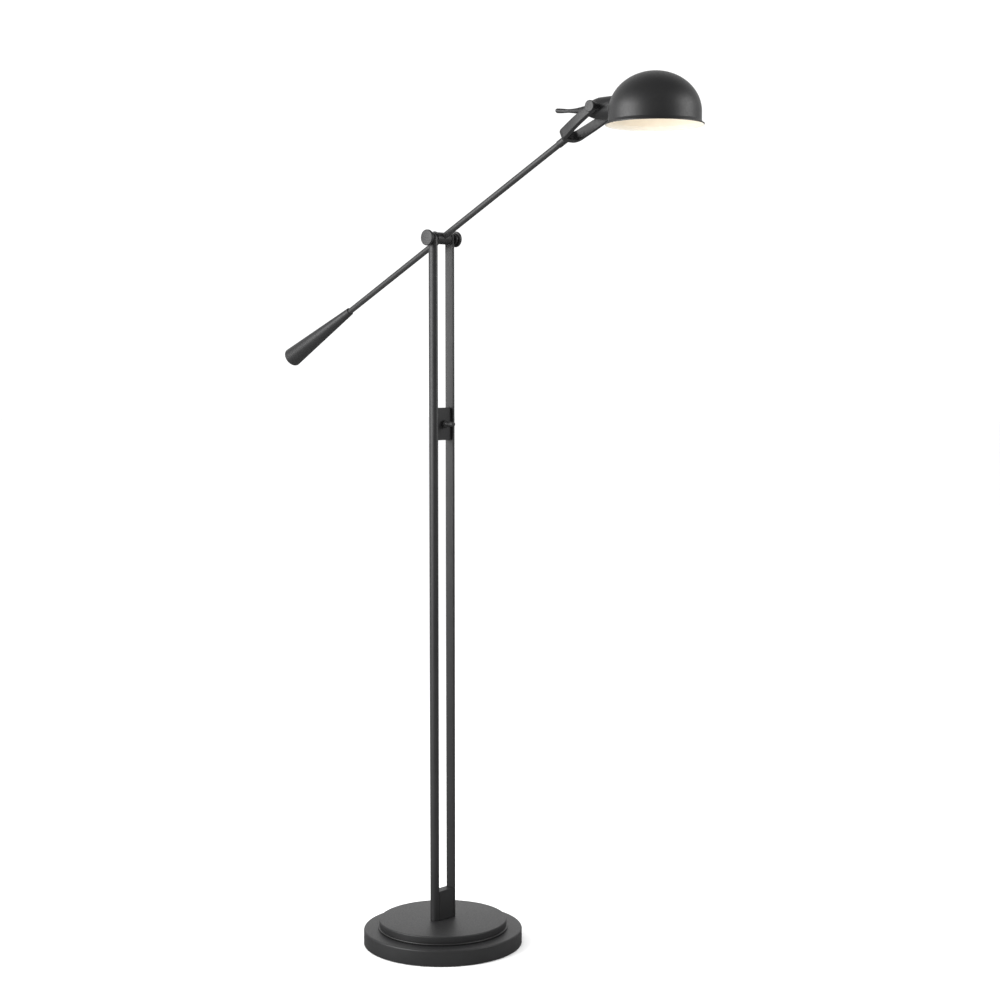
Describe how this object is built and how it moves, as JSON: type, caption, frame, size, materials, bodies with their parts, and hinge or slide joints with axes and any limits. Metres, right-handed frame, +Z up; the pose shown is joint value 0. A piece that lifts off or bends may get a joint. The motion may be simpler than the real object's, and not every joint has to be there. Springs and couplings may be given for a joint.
{
  "type": "pharmacy floor lamp",
  "caption": "Black floor lamp with a round weighted base, twin uprights, a counterweighted tilting boom and a tilting dome shade on a fork",
  "frame": {"origin": "centre of the base's underside, on the floor", "axes": "+Z up along the uprights, +X towards the side the shade reaches to, Y along the knuckle's axis"},
  "size_m": [0.8622, 0.254, 1.3395],
  "materials": {
    "black_powder_coat": "satin black powder coat",
    "black_plastic": "moulded black nylon",
    "zinc_steel": "zinc-plated",
    "cast_iron": "as cast",
    "black_rubber": "matt",
    "white_ceramic": "glazed",
    "brass": "plain turned",
    "opal_glass": "emissive warm white opal glass"
  },
  "bodies": {
    "stand": {"base_pad": "black_rubber", "base_lower_cover": "black_powder_coat", "base_weight": "cast_iron", "base_upper_cover": "black_powder_coat", "base_tier_plate": "cast_iron", "cord_bushing": "black_rubber", "post_near": "black_powder_coat", "post_plug_near": "zinc_steel", "post_bolt_near": "zinc_steel", "post_far": "black_powder_coat", "post_plug_far": "zinc_steel", "post_bolt_far": "zinc_steel", "foot_block": "black_powder_coat", "switch_housing": "black_powder_coat", "switch_back_cover": "black_powder_coat", "switch_body": "black_plastic", "switch_nut": "zinc_steel", "housing_screw_near": "zinc_steel", "housing_screw_far": "zinc_steel"},
    "boom": {"pivot_barrel": "black_powder_coat", "rod_set_screw": "zinc_steel", "pivot_bolt_near": "black_powder_coat", "friction_washer_near": "black_plastic", "spring_washer_near": "zinc_steel", "pivot_bolt_far": "black_powder_coat", "friction_washer_far": "black_plastic", "spring_washer_far": "zinc_steel", "boom_rod": "black_powder_coat", "counterweight": "black_powder_coat", "boom_ferrule": "black_powder_coat", "fork": "black_powder_coat", "fork_nipple": "black_powder_coat", "fork_nut": "black_powder_coat"},
    "head": {"socket_cup": "black_powder_coat", "tail_handle": "black_powder_coat", "shade": "black_powder_coat", "shade_ring": "brass", "lamp_socket": "white_ceramic", "bulb_base": "brass", "bulb_glass": "opal_glass", "tilt_screw_near": "black_powder_coat", "tilt_spacer_near": "black_powder_coat", "tilt_screw_far": "black_powder_coat", "tilt_spacer_far": "black_powder_coat"},
    "knob": {"switch_knob": "black_powder_coat", "switch_shaft": "zinc_steel"}
  },
  "joints": [
    {"name": "boom_tilt", "type": "hinge", "parent": "stand", "child": "boom", "pos_m": [0, 0, 1.1255], "axis": [0, 1, 0], "range_deg": [-48, 57]},
    {"name": "head_tilt", "type": "hinge", "parent": "boom", "child": "head", "pos_m": [0.33237, 0, 1.29632], "axis": [0, 1, 0], "range_deg": [-15, 75]},
    {"name": "knob_turn", "type": "hinge", "parent": "stand", "child": "knob", "pos_m": [0.015, 0, 0.8348], "axis": [1, 0, 0], "range_deg": [0, 270]}
  ]
}
